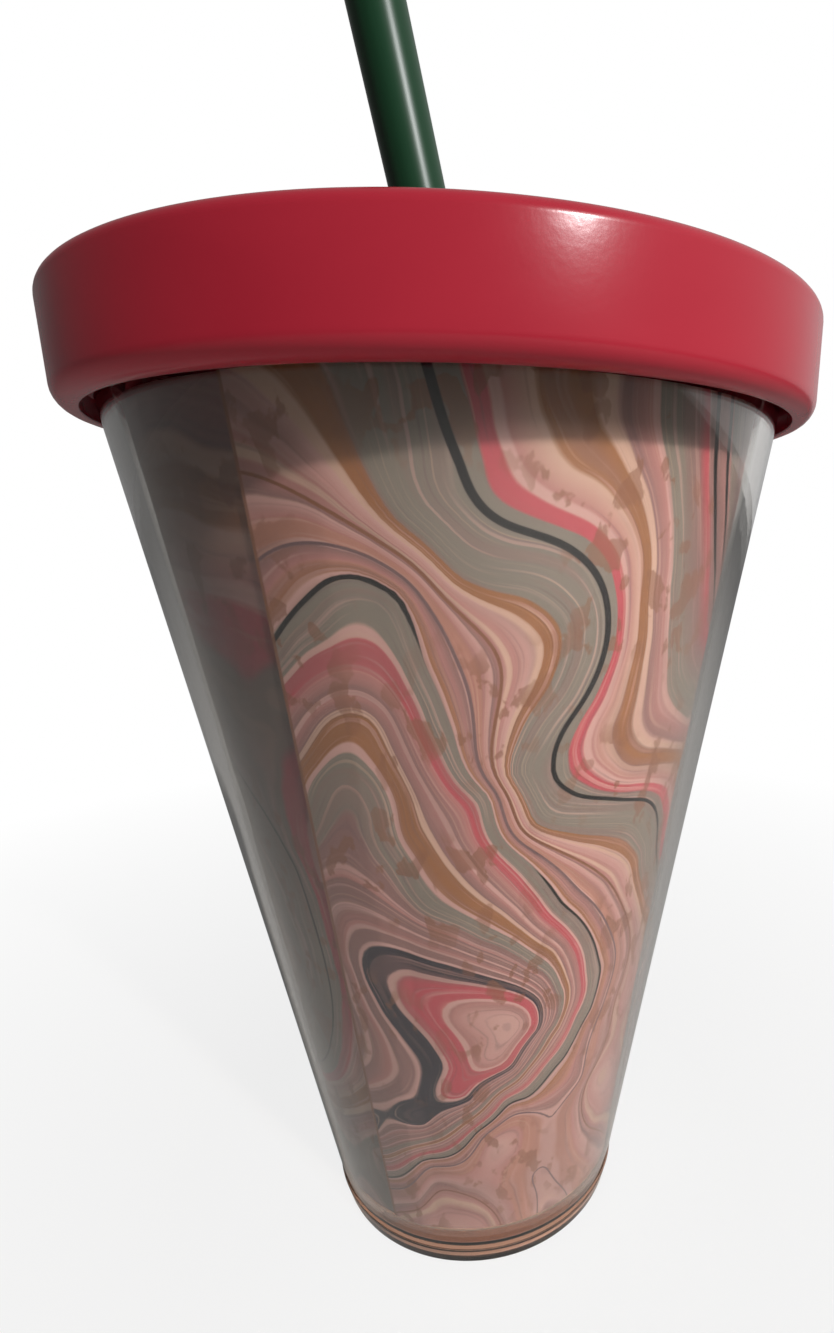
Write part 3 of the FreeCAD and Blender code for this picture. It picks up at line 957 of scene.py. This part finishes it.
lean = Vector((0, 0, 1)).rotation_difference(straw_axis).to_matrix().to_4x4()
straw.data.transform(Matrix.Translation(lower_end / mm_per_m) @ lean)
straw_draw_scale = (900, 900, 12)
straw_deep = "#0f3a20"
straw_pale = "#1c4a2f"
green, tree, output = material("polypropylene, extruded, dark green")
upright = straw_axis.rotation_difference(Vector((0, 0, 1))).to_euler()
place = put(tree, "ShaderNodeMapping", {
    "Vector": put(tree, "ShaderNodeTexCoord").outputs["Object"], "Rotation": tuple(upright),
})
drawn = put(tree, "ShaderNodeTexNoise", {
    "Vector": put(tree, "ShaderNodeMapping", {
        "Vector": place.outputs[0], "Scale": straw_draw_scale,
    }).outputs[0],
    "Scale": 1.0, "Detail": 2.0,
})
tone = put(tree, "ShaderNodeMix", {
    "Factor": drawn.outputs["Fac"], "A": colour(straw_deep), "B": colour(straw_pale),
}, data_type="RGBA")
dull = put(tree, "ShaderNodeMapRange", {"Value": drawn.outputs["Fac"], "To Min": 0.25, "To Max": 0.42})
draw_marks = put(tree, "ShaderNodeBump", {
    "Height": drawn.outputs["Fac"], "Strength": 0.2, "Distance": 0.00005,
})
extruded = put(tree, "ShaderNodeBsdfPrincipled", {
    "Base Color": tone.outputs["Result"], "Roughness": dull.outputs[0], "Specular IOR Level": 0.35,
    "Normal": draw_marks.outputs[0],
})
tree.links.new(extruded.outputs[0], output.inputs["Surface"])
straw.data.materials.append(green)
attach(straw, "straw")
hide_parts("straw")

# Floor and room. The floor is a plain pale sheet that runs out to the horizon and is a little
# darker round the cup. The room is white where it is looked at or seen through. Where it is
# mirrored it is dimmer, most of all on the left, and it sheds hardly any light of its own.
floor_reach_m = 8.0
floor_drop_m = 0.0001
floor_mirror_loss = 0.9
floor_shaded_to_m = 0.06
floor_white_from_m = 0.3
floor_shaded_share = 0.84
floor_bounce = "#c9c7c4"
white = "#ffffff"
floor_mesh = bpy.data.meshes.new("floor")
floor_corners = [(-1, -1), (1, -1), (1, 1), (-1, 1)]
floor_mesh.from_pydata(
    [(x * floor_reach_m, y * floor_reach_m, -floor_drop_m) for x, y in floor_corners], [], [(0, 1, 2, 3)],
)
floor = bpy.data.objects.new("floor", floor_mesh)
bpy.context.scene.collection.objects.link(floor)
paper, tree, output = material("matt paper, white")
rays = put(tree, "ShaderNodeLightPath")
seen = put(tree, "ShaderNodeMath", {
    0: rays.outputs["Is Camera Ray"], 1: rays.outputs["Is Glossy Ray"],
}, operation="MAXIMUM")
seen = put(tree, "ShaderNodeMath", {
    0: seen.outputs[0], 1: rays.outputs["Is Transmission Ray"],
}, operation="MAXIMUM")
mirrored = put(tree, "ShaderNodeMath", {
    0: rays.outputs["Is Glossy Ray"], 1: floor_mirror_loss,
}, operation="MULTIPLY")
seen = put(tree, "ShaderNodeMath", {0: seen.outputs[0], 1: mirrored.outputs[0]}, operation="SUBTRACT")
from_cup = put(tree, "ShaderNodeVectorMath", {
    0: put(tree, "ShaderNodeTexCoord").outputs["Object"],
}, operation="LENGTH")
faded = put(tree, "ShaderNodeMapRange", {
    "Value": from_cup.outputs["Value"], "From Min": floor_shaded_to_m, "From Max": floor_white_from_m,
    "To Min": floor_shaded_share, "To Max": 1.0,
})
share = put(tree, "ShaderNodeMath", {0: seen.outputs[0], 1: faded.outputs[0]}, operation="MULTIPLY")
whole = put(tree, "ShaderNodeMixShader", {
    0: share.outputs[0],
    1: put(tree, "ShaderNodeBsdfDiffuse", {"Color": colour(floor_bounce)}).outputs[0],
    2: put(tree, "ShaderNodeEmission", {"Color": colour(white), "Strength": 1.0}).outputs[0],
})
tree.links.new(whole.outputs[0], output.inputs["Surface"])
floor_mesh.materials.append(paper)

room_fill = 0.05
room_turn = 0.8
room_left = 0.12
room_right = 0.6
world = bpy.data.worlds.new("room")
world.use_nodes = True
tree = world.node_tree
tree.nodes.clear()
rays = put(tree, "ShaderNodeLightPath")
seen = put(tree, "ShaderNodeMath", {
    0: rays.outputs["Is Camera Ray"], 1: rays.outputs["Is Glossy Ray"],
}, operation="MAXIMUM")
seen = put(tree, "ShaderNodeMath", {
    0: seen.outputs[0], 1: rays.outputs["Is Transmission Ray"],
}, operation="MAXIMUM")
strength = put(tree, "ShaderNodeMapRange", {"Value": seen.outputs[0], "To Min": room_fill, "To Max": 1.0})
way = put(tree, "ShaderNodeSeparateXYZ", {0: put(tree, "ShaderNodeTexCoord").outputs["Generated"]})
room = put(tree, "ShaderNodeMapRange", {
    "Value": way.outputs[0], "From Min": -room_turn, "From Max": room_turn,
    "To Min": room_left, "To Max": room_right,
})
strength = put(tree, "ShaderNodeMix", {
    "Factor": rays.outputs["Is Glossy Ray"], "A": strength.outputs[0], "B": room.outputs[0],
}, data_type="FLOAT")
sky = put(tree, "ShaderNodeBackground", {"Color": colour(white), "Strength": strength.outputs[0]})
put(tree, "ShaderNodeOutputWorld", {"Surface": sky.outputs[0]})
bpy.context.scene.world = world

# Light. One softbox stands to the upper right of the front, and it is small enough for the
# lid to throw a clear shadow on the sheet.
lamp_azimuth = math.radians(36)
lamp_height = math.radians(35)
lamp_distance_m = 1.1
lamp_size_m = 0.06
lamp_power_w = 8.8
lamp_aim_m = Vector((0, 0, 0.1))
lamp_data = bpy.data.lights.new("softbox", "AREA")
lamp_data.shape = "DISK"
lamp_data.size = lamp_size_m
lamp_data.energy = lamp_power_w
lamp = bpy.data.objects.new("softbox", lamp_data)
lamp_way = Vector((
    math.sin(lamp_azimuth) * math.cos(lamp_height),
    -math.cos(lamp_azimuth) * math.cos(lamp_height),
    math.sin(lamp_height),
))
lamp.location = lamp_aim_m + lamp_way * lamp_distance_m
lamp.rotation_euler = lamp_way.to_track_quat("Z", "Y").to_euler()
bpy.context.scene.collection.objects.link(lamp)
